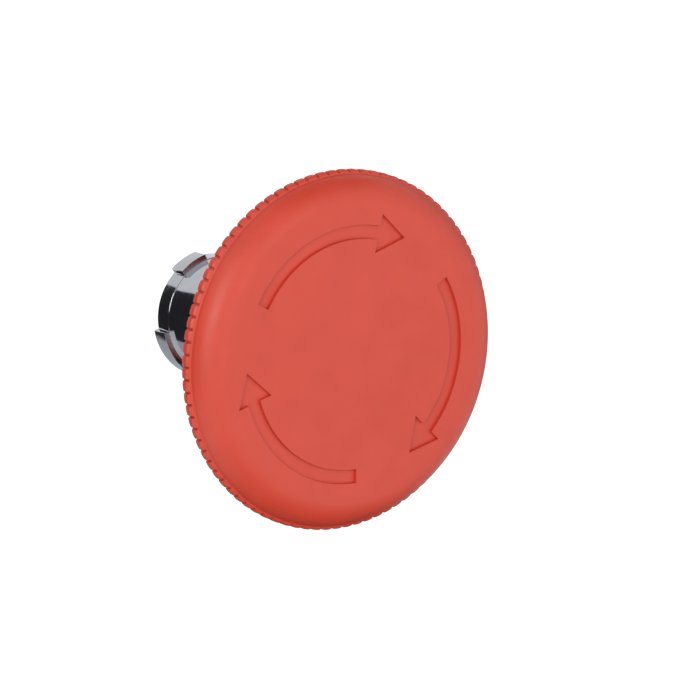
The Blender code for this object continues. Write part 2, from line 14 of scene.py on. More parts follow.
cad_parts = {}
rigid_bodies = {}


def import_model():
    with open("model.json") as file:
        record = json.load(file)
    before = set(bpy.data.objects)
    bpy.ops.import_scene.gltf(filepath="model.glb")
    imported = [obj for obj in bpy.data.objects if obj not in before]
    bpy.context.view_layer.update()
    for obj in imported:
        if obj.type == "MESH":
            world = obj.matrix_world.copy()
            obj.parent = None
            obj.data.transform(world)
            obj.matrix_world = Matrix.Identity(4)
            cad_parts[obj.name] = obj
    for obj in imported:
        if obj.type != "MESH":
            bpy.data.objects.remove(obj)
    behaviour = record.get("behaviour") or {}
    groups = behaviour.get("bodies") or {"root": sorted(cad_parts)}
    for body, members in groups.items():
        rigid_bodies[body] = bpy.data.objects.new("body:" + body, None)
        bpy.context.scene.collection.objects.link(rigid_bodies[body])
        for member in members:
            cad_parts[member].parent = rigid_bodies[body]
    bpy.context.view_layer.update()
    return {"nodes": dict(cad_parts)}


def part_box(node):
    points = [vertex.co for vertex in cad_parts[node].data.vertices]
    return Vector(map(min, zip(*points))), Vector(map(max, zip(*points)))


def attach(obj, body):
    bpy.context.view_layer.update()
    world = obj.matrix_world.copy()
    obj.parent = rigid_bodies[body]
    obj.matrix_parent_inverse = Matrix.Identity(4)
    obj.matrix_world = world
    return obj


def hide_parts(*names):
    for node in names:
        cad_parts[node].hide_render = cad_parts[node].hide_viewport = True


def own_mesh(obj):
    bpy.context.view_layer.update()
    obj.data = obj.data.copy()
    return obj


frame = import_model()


def mm(value):
    return value * 0.001


def box_mm(node):
    low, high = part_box(node)
    return low * 1000.0, high * 1000.0


CAP_LOW, CAP_HIGH = box_mm("mushroom_cap")
BEZEL_LOW, BEZEL_HIGH = box_mm("bezel_body")
COVER_LOW, COVER_HIGH = box_mm("rear_cover")
CIRCLIP_LOW, CIRCLIP_HIGH = box_mm("rear_circlip")
PLUNGER_LOW, PLUNGER_HIGH = box_mm("contact_plunger")
GASKET_LOW, GASKET_HIGH = box_mm("panel_gasket")
HUB_LOW, HUB_HIGH = box_mm("cap_hub")
SEAL_LOW, SEAL_HIGH = box_mm("wiper_seal")
SPRING_REAR_Y = box_mm("return_spring")[1].y
WASHER_REAR_Y = box_mm("thrust_washer")[1].y

# The cap: depths are measured from its front face.
FACE_Y = CAP_LOW.y
CAP_R = min(CAP_HIGH.x, CAP_HIGH.z)
FLAT_R = 24.4
SHOULDER_RADIAL = 5.1
SHOULDER_AXIAL = 5.0
SHOULDER_END_DEG = 70.25
TEETH = 90
TOOTH_PHASE_DEG = 2.7
GROOVE_FLOOR_R = 29.47
GROOVE_HALF_PITCH = 0.125   # half a groove's width, as a share of a tooth's pitch
PAD_CROWN = 0.07            # how far a grip pad's middle stands above its edges
RIB_DEPTH = 6.1             # open side of the pockets between the cap's ribs
PLATE_DEPTH = 2.9
POCKETS = 12
POCKET_R = (9.9, 22.4)
RIB_HALF_WIDTH = 0.6
BOSS_R = 9.0
BOSS_BORE_R = 6.4
BOSS_END_DEPTH = 8.9
BOSS_SEGMENTS = 96
CLIP_DEPTH = 5.8

# Three dogs on the hub stand in three notches in the end of the cap's boss.
DOGS_DEG = (30.0, 150.0, 270.0)
DOG_HALF_WIDTH = 1.2
NOTCH_HALF_WIDTH = 1.5

ARROWS = 3
ARROW_TAIL_DEG = 150.9
ARROW_BASE_DEG = 76.2
ARROW_TIP_DEG = 61.7
ARROW_SHAFT_R = (19.15, 21.45)
ARROW_HEAD_R = (16.96, 23.41)
ARROW_TIP_R = 20.92
ARROW_RECESS = 0.6

# The bezel: features round the barrel as (start, end, height) in degrees and millimetres.
LUG_HEIGHT = 0.9
KEY_HEIGHT = 0.85
KEY_HALF_DEG = 7.8
STOP_HEIGHT = -1.1          # a rib inside the bore
STOP_HALF_DEG = 5.1
LUGS_DEG = ((9.6, 67.6), (103.0, 131.8), (189.6, 247.6), (283.0, 311.8))
BARREL_R = 10.25
WAIST_R = 10.05
SPIGOT_R = 11.05
BORE_R = 9.0
LUG_FRONT_Y = 12.6


# ---------------------------------------------------------------- mesh tools

def at(radius, y, angle_deg):
    """A point in metres at a radius and an angle round the operating axis."""
    a = math.radians(angle_deg)
    return Vector((mm(radius) * math.cos(a), mm(y), mm(radius) * math.sin(a)))


def polar(radius, angle_deg):
    a = math.radians(angle_deg)
    return (radius * math.cos(a), radius * math.sin(a))


def arc(radius, start_deg, end_deg, steps):
    return [polar(radius, start_deg + (end_deg - start_deg) * i / steps) for i in range(steps + 1)]


def circle(radius, steps, centre=(0.0, 0.0)):
    """A closed loop, without its first point twice."""
    return [(x + centre[0], z + centre[1]) for x, z in arc(radius, 0.0, 360.0, steps)[:-1]]


def radial_bar(half_width, r_inner, r_outer, angle_deg):
    """A rectangle that points straight out from the axis."""
    a = math.radians(angle_deg)
    corners = (
        (r_inner, -half_width), (r_outer, -half_width),
        (r_outer, half_width), (r_inner, half_width),
    )
    return [
        (u * math.cos(a) - v * math.sin(a), u * math.sin(a) + v * math.cos(a))
        for u, v in corners
    ]


def stadium(half_length, half_width, steps=16):
    straight = half_length - half_width
    right = [(straight + x, z) for x, z in arc(half_width, -90.0, 90.0, steps)]
    left = [(-straight + x, z) for x, z in arc(half_width, 90.0, 270.0, steps)]
    return right + left


def rounded(loop, radius, steps=3, smooth=-0.9):
    """A closed loop with each corner turned into a small curve. Points where the loop runs
    nearly straight on, and points on the axis, stay as they are."""
    out = []
    for i, corner in enumerate(loop):
        here = Vector(corner)
        before = Vector(loop[i - 1]) - here
        after = Vector(loop[(i + 1) % len(loop)]) - here
        if corner[0] == 0.0 or before.normalized().dot(after.normalized()) < smooth:
            out.append(corner)
            continue
        reach = min(radius, 0.4 * before.length, 0.4 * after.length)
        start = here + before.normalized() * reach
        end = here + after.normalized() * reach
        for k in range(steps + 1):
            t = k / steps
            out.append(tuple(start.lerp(here, t).lerp(here.lerp(end, t), t)))
    return out


def grown(loop, distance):
    """An outline moved outwards by a distance, with mitred corners."""
    points = [Vector(p) for p in loop]
    pairs = list(zip(points, points[1:] + points[:1]))
    turning = sum(a.x * b.y - b.x * a.y for a, b in pairs)
    side = math.copysign(distance, turning)
    normals = [Vector(((b - a).y, -(b - a).x)).normalized() for a, b in pairs]
    moved = []
    for i, here in enumerate(points):
        n1, n2 = normals[i - 1], normals[i]
        moved.append(tuple(here + (n1 + n2) * (side / (1.0 + n1.dot(n2)))))
    return moved


def loop_at(bm, loop, y):
    return [bm.verts.new((mm(x), mm(y), mm(z))) for x, z in loop]


def strip(bm, ring_a, ring_b):
    count = len(ring_a)
    for i in range(count):
        j = (i + 1) % count
        bm.faces.new((ring_a[i], ring_a[j], ring_b[j], ring_b[i]))


def strips(bm, rings, closed=False):
    following = rings[1:] + rings[:1] if closed else rings[1:]
    for ring_a, ring_b in zip(rings, following):
        strip(bm, ring_a, ring_b)


def fill(bm, *loops):
    """Flat faces between an outer loop of vertices and the holes in it."""
    edges = []
    for loop in loops:
        for a, b in zip(loop, loop[1:] + loop[:1]):
            edges.append(bm.edges.get((a, b)) or bm.edges.new((a, b)))
    bmesh.ops.triangle_fill(bm, use_beauty=True, edges=edges)


def lathe_rings(bm, section, segments):
    step = 360.0 / segments
    return [[bm.verts.new(at(r, y, i * step)) for i in range(segments)] for r, y in section]


def turned(section, segments):
    """A solid of revolution whose section is a closed loop clear of the axis."""
    bm = bmesh.new()
    strips(bm, lathe_rings(bm, section, segments), closed=True)
    return bm


def pocket(bm, outline, y_open, y_floor, lip, foot):
    """A recess with a rounded lip and a rounded foot. Returns the loop of its open side."""
    inward = math.copysign(1.0, y_floor - y_open)
    profile = []
    for k in range(4):
        a = math.radians(30.0 * k)
        profile.append((lip * (1.0 - math.sin(a)), y_open + inward * lip * (1.0 - math.cos(a))))
    for k in range(3):
        a = math.radians(45.0 * k)
        profile.append((foot * (math.cos(a) - 1.0), y_floor - inward * foot * (1.0 - math.sin(a))))
    rings = [loop_at(bm, grown(outline, out), y) for out, y in profile]
    strips(bm, rings)
    fill(bm, rings[-1])
    return rings[0]


def edge_profile(y_front, y_rear, edge):
    """(inset, y) pairs across the rim of a plate with rounded edges."""
    front = [(edge, y_front), (0.29 * edge, y_front + 0.29 * edge), (0.0, y_front + edge)]
    rear = [(0.0, y_rear - edge), (0.29 * edge, y_rear - 0.29 * edge), (edge, y_rear)]
    return front + rear


def plate(outline, holes, y_front, y_rear, edge):
    """A flat plate with rounded edges, round its outline and round each hole."""
    bm = bmesh.new()
    front, rear = [], []
    for loop, side in [(outline, -1.0)] + [(hole, 1.0) for hole in holes]:
        profile = edge_profile(y_front, y_rear, edge)
        rings = [loop_at(bm, grown(loop, side * inset), y) for inset, y in profile]
        strips(bm, rings)
        front.append(rings[0])
        rear.append(rings[-1])
    fill(bm, *front)
    fill(bm, *rear)
    return bm


def tube(path, radius, sides):
    """A round wire along a list of points in mm, with flat ends."""
    bm = bmesh.new()
    points = [Vector(p) * 0.001 for p in path]
    rings = []
    for i, here in enumerate(points):
        along = (points[min(i + 1, len(points) - 1)] - points[max(i - 1, 0)]).normalized()
        out = Vector((here.x, 0.0, here.z)).normalized()
        side = along.cross(out).normalized()
        out = side.cross(along).normalized()
        ring = []
        for k in range(sides):
            a = 2.0 * math.pi * k / sides
            spoke = math.cos(a) * out + math.sin(a) * side
            ring.append(bm.verts.new(here + mm(radius) * spoke))
        rings.append(ring)
    strips(bm, rings)
    bm.faces.new(rings[0])
    bm.faces.new(rings[-1])
    return bm


def mesh_of(bm, name):
    bmesh.ops.recalc_face_normals(bm, faces=bm.faces)
    mesh = bpy.data.meshes.new(name)
    bm.to_mesh(mesh)
    bm.free()
    return mesh


def combined(mesh, operation, tools):
    """The mesh joined with or cut by helper solids."""
    scene = bpy.context.scene.collection.objects
    base = bpy.data.objects.new("boolean_base", mesh)
    scene.link(base)
    helpers = []
    for tool in tools:
        helper = bpy.data.objects.new("boolean_helper", mesh_of(tool, "boolean_helper"))
        scene.link(helper)
        helpers.append(helper)
        modifier = base.modifiers.new("combine", "BOOLEAN")
        modifier.operation = operation
        modifier.solver = "EXACT"
        modifier.object = helper
    graph = bpy.context.evaluated_depsgraph_get()
    result = bpy.data.meshes.new_from_object(base.evaluated_get(graph))
    for obj in [base] + helpers:
        bpy.data.objects.remove(obj, do_unlink=True)
    return result


def piece(mesh, name, body, node, finish, sharp_deg=38.0):
    """A finished piece that stands for a CAD node and rides on its body."""
    mesh.shade_smooth()
    mesh.set_sharp_from_angle(angle=math.radians(sharp_deg))
    mesh.materials.clear()
    mesh.materials.append(finish)
    obj = bpy.data.objects.new(name, mesh)
    bpy.context.scene.collection.objects.link(obj)
    weighted = obj.modifiers.new("flat_faces_stay_flat", "WEIGHTED_NORMAL")
    weighted.keep_sharp = True
    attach(obj, body)
    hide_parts(node)
    return obj


# ---------------------------------------------------------------- finishes

def add(tree, kind, **inputs):
    """A node with values or links on its named inputs."""
    node = tree.nodes.new(kind)
    for key, value in inputs.items():
        socket = node.inputs[key.replace("_", " ")]
        if isinstance(value, bpy.types.NodeSocket):
            tree.links.new(value, socket)
        else:
            socket.default_value = value
    return node


def noise(tree, place, size, detail=3.0, roughness=0.55):
    """Noise whose blotches are about that many millimetres across."""
    node = add(
        tree, "ShaderNodeTexNoise", Vector=place, Scale=1.0 / mm(size), Detail=detail,
        Roughness=roughness)
    return node.outputs["Fac"]


def spread(tree, value, low, high, contrast=0.22):
    """Noise values around a half, stretched to run from low to high."""
    node = add(
        tree, "ShaderNodeMapRange", Value=value, From_Min=0.5 - contrast,
        From_Max=0.5 + contrast, To_Min=low, To_Max=high)
    return node.outputs["Result"]


def surface(name, colours, roughness, patch, grain, relief, metallic=0.0, stretch=(1.0, 1.0, 1.0)):
    """A finish with blotches between two colours, roughness that varies over the surface, and
    a fine raised grain. Patch and grain sizes and the relief are in millimetres."""
    mat = bpy.data.materials.new(name)
    mat.use_nodes = True
    tree = mat.node_tree
    shader = tree.nodes["Principled BSDF"]
    shader.inputs["Metallic"].default_value = metallic
    coordinates = add(tree, "ShaderNodeTexCoord").outputs["Object"]
    place = add(tree, "ShaderNodeMapping", Vector=coordinates, Scale=stretch).outputs["Vector"]
    mix = add(tree, "ShaderNodeMix")
    mix.data_type = "RGBA"
    blotches = spread(tree, noise(tree, coordinates, patch), 0.0, 1.0)
    tree.links.new(blotches, mix.inputs[0])
    mix.inputs[6].default_value = (*colours[0], 1.0)
    mix.inputs[7].default_value = (*colours[1], 1.0)
    tree.links.new(mix.outputs[2], shader.inputs["Base Color"])
    gloss = spread(tree, noise(tree, place, patch * 0.37, 4.0), roughness[0], roughness[1])
    tree.links.new(gloss, shader.inputs["Roughness"])
    height = noise(tree, place, grain, 2.0)
    bump = add(tree, "ShaderNodeBump", Height=height, Distance=mm(relief), Strength=1.0)
    tree.links.new(bump.outputs["Normal"], shader.inputs["Normal"])
    return mat


RED = surface(
    "red_satin_moulding", ((0.61, 0.054, 0.027), (0.65, 0.060, 0.032)), (0.40, 0.50),
    patch=6.0, grain=0.22, relief=0.004)
BLACK = surface(
    "black_moulding_grain", ((0.020, 0.020, 0.022), (0.034, 0.034, 0.036)), (0.42, 0.58),
    patch=4.0, grain=0.25, relief=0.006)
GREY = surface(
    "grey_moulding_grain", ((0.38, 0.39, 0.40), (0.46, 0.465, 0.47)), (0.42, 0.55),
    patch=4.0, grain=0.25, relief=0.005)
CHROME = surface(
    "chrome_plating_bright", ((0.50, 0.51, 0.54), (0.56, 0.57, 0.60)), (0.06, 0.14),
    patch=3.0, grain=0.9, relief=0.0012, metallic=1.0)
STEEL = surface(
    "steel_turned", ((0.50, 0.50, 0.51), (0.60, 0.60, 0.60)), (0.22, 0.38),
    patch=2.0, grain=0.12, relief=0.003, metallic=1.0, stretch=(0.3, 1.0, 0.3))
SPRING = surface(
    "spring_steel_drawn", ((0.42, 0.42, 0.43), (0.55, 0.54, 0.53)), (0.25, 0.42),
    patch=1.4, grain=0.10, relief=0.003, metallic=1.0)
BRASS = surface(
    "brass_turned", ((0.66, 0.47, 0.20), (0.76, 0.58, 0.28)), (0.22, 0.38),
    patch=2.0, grain=0.12, relief=0.003, metallic=1.0)
RUBBER = surface(
    "black_rubber_matt", ((0.014, 0.014, 0.014), (0.026, 0.026, 0.025)), (0.72, 0.90),
    patch=3.0, grain=0.18, relief=0.010)


# ---------------------------------------------------------------- mushroom cap

def tooth_places():
    """Places round one tooth as (position in pitches, share of the groove's depth, share of
    the pad's crown): the groove first, and then the pad."""
    half = GROOVE_HALF_PITCH
    wall = ((1.0, 0.0), (0.8, 0.3), (0.6, 0.9))
    places = [(-half * out, cut, 0.0) for out, cut in wall]
    places.append((0.0, 1.0, 0.0))
    places += [(half * out, cut, 0.0) for out, cut in reversed(wall)]
    steps = 8
    for k in range(1, steps):
        t = k / steps
        places.append((half + (1.0 - 2.0 * half) * t, 0.0, 1.0 - (2.0 * t - 1.0) ** 2))
    return places


def toothed_ring(bm, radius, depth):
    """One ring of the cap. Teeth show only where it stands outside the grooves' floor."""
    pitch = 360.0 / TEETH
    proud = max(0.0, radius - GROOVE_FLOOR_R)
    crown = PAD_CROWN * min(1.0, proud / (CAP_R - GROOVE_FLOOR_R))
    ring = []
    for i in range(TEETH):
        for position, cut, rise in tooth_places():
            r = radius - crown * (1.0 - rise) * (1.0 - cut) - proud * cut
            angle = TOOTH_PHASE_DEG + (i + position) * pitch
            ring.append(bm.verts.new(at(r, FACE_Y + depth, angle)))
    return ring


def cap_rim():
    """Section of the cap's rim as (radius, depth), from the flat face to the ribs' plane."""
    shoulder = []
    steps = 16
    for k in range(steps + 1):
        a = math.radians(SHOULDER_END_DEG * k / steps)
        radius = FLAT_R + SHOULDER_RADIAL * math.sin(a)
        shoulder.append((radius, SHOULDER_AXIAL * (1.0 - math.cos(a))))
    step = [(29.2, 3.50), (29.24, 3.66), (29.34, 3.76), (29.50, 3.79), (29.60, 3.82)]
    crest = [(29.94, 4.14), (29.99, 4.20), (CAP_R, 4.27), (CAP_R, 5.14), (29.96, 5.25), (29.86, 5.31)]
    flank = [(29.52, 5.52), (29.2, 5.78), (28.9, 6.1), (26.8, 9.2)]
    skirt = [(25.6, 11.05), (25.42, 11.32), (25.05, 11.5), (24.35, 11.5), (24.08, 11.38)]
    inside = [(23.97, 11.1), (23.6, 6.5), (23.52, 6.22), (23.3, RIB_DEPTH)]
    return shoulder + step + crest + flank + skirt + inside


def arrow_outline(turn_deg):
    """One curved arrow with a straight-sided head, pointing clockwise."""
    tail = ARROW_TAIL_DEG + turn_deg
    base = ARROW_BASE_DEG + turn_deg
    inner, outer = ARROW_SHAFT_R
    head = [
        polar(ARROW_HEAD_R[1], base),
        polar(ARROW_TIP_R, ARROW_TIP_DEG + turn_deg),
        polar(ARROW_HEAD_R[0], base),
    ]
    return rounded(arc(outer, tail, base, 40) + head + arc(inner, base, tail, 40), 0.12, 2)


def rib_pocket_outline(middle_deg):
    """The space between two of the cap's ribs, which have parallel sides."""
    sides = []
    for radius in POCKET_R:
        half = 180.0 / POCKETS - math.degrees(math.asin(RIB_HALF_WIDTH / radius))
        sides.append(arc(radius, middle_deg - half, middle_deg + half, 14))
    return rounded(sides[0] + sides[1][::-1], 1.1, 5)


def dog_notch(angle_deg):
    """A cutter for the end of the boss, wider than the wall that it cuts through."""
    outline = radial_bar(NOTCH_HALF_WIDTH, BOSS_BORE_R - 1.0, BOSS_R + 1.0, angle_deg)
    end_y = FACE_Y + BOSS_END_DEPTH
    return plate(outline, [], end_y - 1.4, end_y + 1.0, edge=0.1)


def boss_section():
    """Section of the cap's boss as (radius, depth), with the clip's groove in its bore."""
    corner = 0.2
    groove_r = BOSS_BORE_R + 0.7
    groove_start, groove_end = CLIP_DEPTH - 0.75, CLIP_DEPTH + 0.75
    return [
        (BOSS_R + 0.4, RIB_DEPTH), (BOSS_R + 0.1, RIB_DEPTH + 0.1), (BOSS_R, RIB_DEPTH + 0.4),
        (BOSS_R, BOSS_END_DEPTH - corner), (BOSS_R - corner, BOSS_END_DEPTH),
        (BOSS_BORE_R + corner, BOSS_END_DEPTH), (BOSS_BORE_R, BOSS_END_DEPTH - corner),
        (BOSS_BORE_R, groove_end), (groove_r, groove_end),
        (groove_r, groove_start), (BOSS_BORE_R, groove_start), (BOSS_BORE_R, PLATE_DEPTH),
    ]


def cap_moulding():
    """The cap: toothed rim, arrows in its face, and ribs and a notched boss behind."""
    bm = bmesh.new()
    rim = [toothed_ring(bm, r, d) for r, d in cap_rim()]
    strips(bm, rim)
    lips = []
    for i in range(ARROWS):
        outline = arrow_outline(-i * 360.0 / ARROWS)
        lips.append(pocket(bm, outline, FACE_Y, FACE_Y + ARROW_RECESS, lip=0.06, foot=0.08))
    fill(bm, rim[0], *lips)
    boss_rings = lathe_rings(bm, [(r, FACE_Y + d) for r, d in boss_section()], BOSS_SEGMENTS)
    strips(bm, boss_rings)
    fill(bm, boss_rings[-1])
    mouths = []
    rib_y, plate_y = FACE_Y + RIB_DEPTH, FACE_Y + PLATE_DEPTH
    for i in range(POCKETS):
        outline = rib_pocket_outline(i * 360.0 / POCKETS)
        mouths.append(pocket(bm, outline, rib_y, plate_y, lip=0.2, foot=0.5))
    fill(bm, rim[-1], boss_rings[0], *mouths)
    notches = [dog_notch(angle) for angle in DOGS_DEG]
    mesh = combined(mesh_of(bm, "cap_moulding"), "DIFFERENCE", notches)
    return piece(mesh, "cap_moulding", "head", "mushroom_cap", RED)


# ---------------------------------------------------------------- bezel

def bezel_features():
    """(start, end, height, kind) of every feature, in the order of their angles."""
    features = [(start, end, LUG_HEIGHT, "lug") for start, end in LUGS_DEG]
    features.append((90.0 - KEY_HALF_DEG, 90.0 + KEY_HALF_DEG, KEY_HEIGHT, "key"))
    features.append((270.0 - STOP_HALF_DEG, 270.0 + STOP_HALF_DEG, STOP_HEIGHT, "stop"))
    return sorted(features)


def feature_side(height):
    """(along, up) points of a feature's side, from its rounded foot to its rounded top."""
    size = abs(height)
    corner = min(0.14, size / 3.0)
    draft = 0.05
    foot, top = [], []
    for angle_deg in (0, 30, 60, 90):
        a = math.radians(angle_deg)
        sine, cosine = 1.0 - math.sin(a), 1.0 - math.cos(a)
        foot.append((-corner * sine, corner * cosine))
        top.append((draft + corner * cosine, size - corner * sine))
    return [(s, math.copysign(u, height)) for s, u in foot + top]


def stepped_ring(bm, features, base, y, shown=(), inset=0.0, step_deg=2.5):
    """A ring round the axis with the features of the shown kinds standing on it. Rings of one
    solid have the same number of points, whatever they show."""
    pairs = []
    for i, (start, end, height, kind) in enumerate(features):
        share = 1.0 if kind in shown else 0.0
        shift = math.degrees(inset / base) * share
        side = feature_side(height)
        up = [(base + share * u, start + shift + math.degrees(s / base)) for s, u in side]
        down = [(base + share * u, end - shift - math.degrees(s / base)) for s, u in reversed(side)]
        pairs += up
        crown = max(2, round((end - start) / step_deg))
        for k in range(1, crown):
            t = k / crown
            pairs.append((up[-1][0], up[-1][1] + (down[0][1] - up[-1][1]) * t))
        pairs += down
        following = features[(i + 1) % len(features)]
        nearest = following[0] + (360.0 if i + 1 == len(features) else 0.0)
        reach = math.degrees(feature_side(following[2])[0][0] / base)
        gap = max(2, round((nearest - end) / step_deg))
        for k in range(1, gap):
            t = k / gap
            pairs.append((base, down[-1][1] + (nearest + reach - down[-1][1]) * t))
    return [bm.verts.new(at(r, y, angle)) for r, angle in pairs]


def bezel_rings():
    """Rings round the whole section of the bezel as (radius, y, kinds shown, inset)."""
    front, rear = BEZEL_LOW.y, BEZEL_HIGH.y
    flange_r = BEZEL_HIGH.x
    seat_r = 11.4
    clip_groove_r = 9.55
    lug, key, stop = ("lug",), ("key",), ("stop",)
    neck = [
        (11.55, front), (12.3, front), (12.58, front + 0.1), (12.7, front + 0.38),
        (12.7, -6.0), (12.76, -5.5), (12.95, -5.05), (13.4, -4.66),
    ]
    flange = [
        (14.0, -4.4), (14.3, -4.22), (14.44, -4.02), (flange_r, -3.72), (flange_r, -1.55),
        (14.43, -1.31), (14.25, -1.2), (SPIGOT_R + 0.15, -1.2),
    ]
    spigot = [
        (SPIGOT_R, -1.08, key), (SPIGOT_R, 2.32, key), (SPIGOT_R - 0.02, 2.45, key, 0.06),
        (SPIGOT_R - 0.1, 2.5, key, 0.18), (SPIGOT_R, 2.52), (SPIGOT_R, 3.95),
        (10.97, 4.28), (10.75, 4.46), (10.45, 4.5),
    ]
    waist = [
        (WAIST_R + 0.12, 4.52), (WAIST_R, 4.64), (WAIST_R, 8.0), (WAIST_R + 0.02, 9.6),
        (WAIST_R + 0.06, 11.1), (WAIST_R + 0.11, LUG_FRONT_Y),
    ]
    lugs = [
        (BARREL_R - 0.02, LUG_FRONT_Y, lug, 0.02), (BARREL_R, LUG_FRONT_Y + 0.02, lug),
        (BARREL_R, rear - 0.3, lug), (BARREL_R - 0.08, rear - 0.1, lug, 0.08),
        (BARREL_R - 0.25, rear, lug, 0.25),
    ]
    mouth = [
        (9.15, rear), (BORE_R, rear - 0.15), (BORE_R, 15.9), (clip_groove_r, 15.9),
        (clip_groove_r, 15.15), (BORE_R, 15.15), (BORE_R, 2.45),
    ]
    web = [(8.8, 2.2), (7.4, 2.2), (7.3, 2.1), (7.3, 0.9), (7.4, 0.8), (8.95, 0.8)]
    bore = [
        (BORE_R, 0.7, stop), (BORE_R, -5.85, stop), (BORE_R, -6.0, stop, 0.15),
        (BORE_R, -6.05), (BORE_R, -9.9), (seat_r, -9.9), (seat_r, front + 0.15),
    ]
    return neck + flange + spigot + waist + lugs + mouth + web + bore


def bezel_casting():
    """The plated barrel, with its lugs, its key and the rib that stops the head's turn."""
    bm = bmesh.new()
    features = bezel_features()
    strips(bm, [stepped_ring(bm, features, *ring) for ring in bezel_rings()], closed=True)
    mesh = mesh_of(bm, "bezel_casting")
    return piece(mesh, "bezel_casting", "fixed_body", "bezel_body", CHROME)


def gasket_ring():
    """The gasket, with a notch in its inner edge for the bezel's key."""
    bm = bmesh.new()
    notch = [(80.9, 99.1, KEY_HEIGHT, "notch")]
    front, rear = GASKET_LOW.y, GASKET_HIGH.y
    inner, outer = 11.35, GASKET_HIGH.x
    shown = ("notch",)
    rings = [
        (inner, front + 0.12, shown), (inner, rear - 0.12, shown), (inner + 0.12, rear, shown),
        (outer - 0.2, rear), (outer - 0.05, rear - 0.06), (outer, rear - 0.22), (outer, front + 0.22),
        (outer - 0.05, front + 0.06), (outer - 0.2, front), (inner + 0.12, front, shown),
    ]
    strips(bm, [stepped_ring(bm, notch, *ring) for ring in rings], closed=True)
    mesh = mesh_of(bm, "gasket_ring")
    return piece(mesh, "gasket_ring", "fixed_body", "panel_gasket", RUBBER)


def wiper_lip_seal():
    """The ring in the bezel's mouth, whose lip wipes the hub."""
    front, rear = SEAL_LOW.y, SEAL_HIGH.y
    lip_r, outer = 8.8, 11.15
    section = [
        (lip_r, front + 0.25), (9.3, front), (outer, front), (outer, rear), (9.6, rear),
        (9.3, rear - 1.05), (lip_r, rear - 1.55),
    ]
    mesh = mesh_of(turned(rounded(section, 0.15), 120), "wiper_lip_seal")
    return piece(mesh, "wiper_lip_seal", "fixed_body", "wiper_seal", RUBBER)


# ---------------------------------------------------------------- hub, rear pieces and springs

def hub_section():
    """Section of the hub: the nose in the cap's boss, the flange, the skirt and the bores."""
    front, rear = HUB_LOW.y, HUB_HIGH.y
    nose_r, groove_r = 6.1, 5.4
    flange_r, flange_front, flange_rear = 12.3, -19.3, -17.6
    skirt_r, skirt_bore_r, skirt_floor = 8.6, 7.4, -17.0
    screw_head_r, screw_r, stem_r = 3.6, 1.8, 3.2
    clip_front, clip_rear = FACE_Y + CLIP_DEPTH - 0.7, FACE_Y + CLIP_DEPTH + 0.7
    outside = [
        (screw_head_r, front), (nose_r, front), (nose_r, clip_front), (groove_r, clip_front),
        (groove_r, clip_rear), (nose_r, clip_rear), (nose_r, flange_front),
        (flange_r, flange_front), (flange_r, flange_rear), (skirt_r, flange_rear),
        (skirt_r, rear),
    ]
    inside = [
        (skirt_bore_r, rear), (skirt_bore_r, skirt_floor), (stem_r, skirt_floor),
        (stem_r, -20.6), (screw_r, -20.6), (screw_r, -22.9), (screw_head_r, -22.9),
    ]
    return outside + inside


def hub_moulding():
    """The hub, with dogs for the cap's notches and a slot that clears the bezel's stop."""
    mesh = mesh_of(turned(rounded(hub_section(), 0.25), 120), "hub_moulding")
    dogs = []
    for angle in DOGS_DEG:
        outline = radial_bar(DOG_HALF_WIDTH, 5.6, 8.8, angle)
        dogs.append(plate(outline, [], -20.7, -19.0, edge=0.1))
    mesh = combined(mesh, "UNION", dogs)
    slot_start, slot_end = 262.0, 323.0
    outline = arc(9.4, slot_start, slot_end, 24) + arc(6.8, slot_end, slot_start, 24)
    slot = plate(outline, [], -11.5, HUB_HIGH.y + 1.0, edge=0.1)
    mesh = combined(mesh, "DIFFERENCE", [slot])
    return piece(mesh, "hub_moulding", "head", "cap_hub", BLACK)


def cover_plate():
    """The rear cover, with a window that the plunger's bar passes through."""
    outline = circle(COVER_HIGH.x, 120)
    window = stadium(half_length=6.8, half_width=4.0)
    bm = plate(outline, [window], COVER_LOW.y, COVER_HIGH.y, edge=0.12)
    mesh = mesh_of(bm, "cover_plate")
    return piece(mesh, "cover_plate", "fixed_body", "rear_cover", BLACK)


def circlip_ring():
    """An open ring with an ear and a plier hole at each end."""
    outer_r, inner_r, ear_r = 9.35, 8.2, 7.3
    start, end = -74.0, 254.0
    outline = arc(outer_r, start, end, 120)
    outline += arc(ear_r, end, 243.0, 4)
    outline += arc(inner_r, 240.0, -60.0, 110)
    outline += arc(ear_r, -63.0, start, 4)
    hole_r, hole_place_r = 0.42, 8.15
    holes = [circle(hole_r, 20, polar(hole_place_r, angle)) for angle in (248.5, -68.5)]
    bm = plate(rounded(outline, 0.25), holes, CIRCLIP_LOW.y, CIRCLIP_HIGH.y, edge=0.05)
    mesh = mesh_of(bm, "circlip_ring")
    return piece(mesh, "circlip_ring", "fixed_body", "rear_circlip", SPRING)


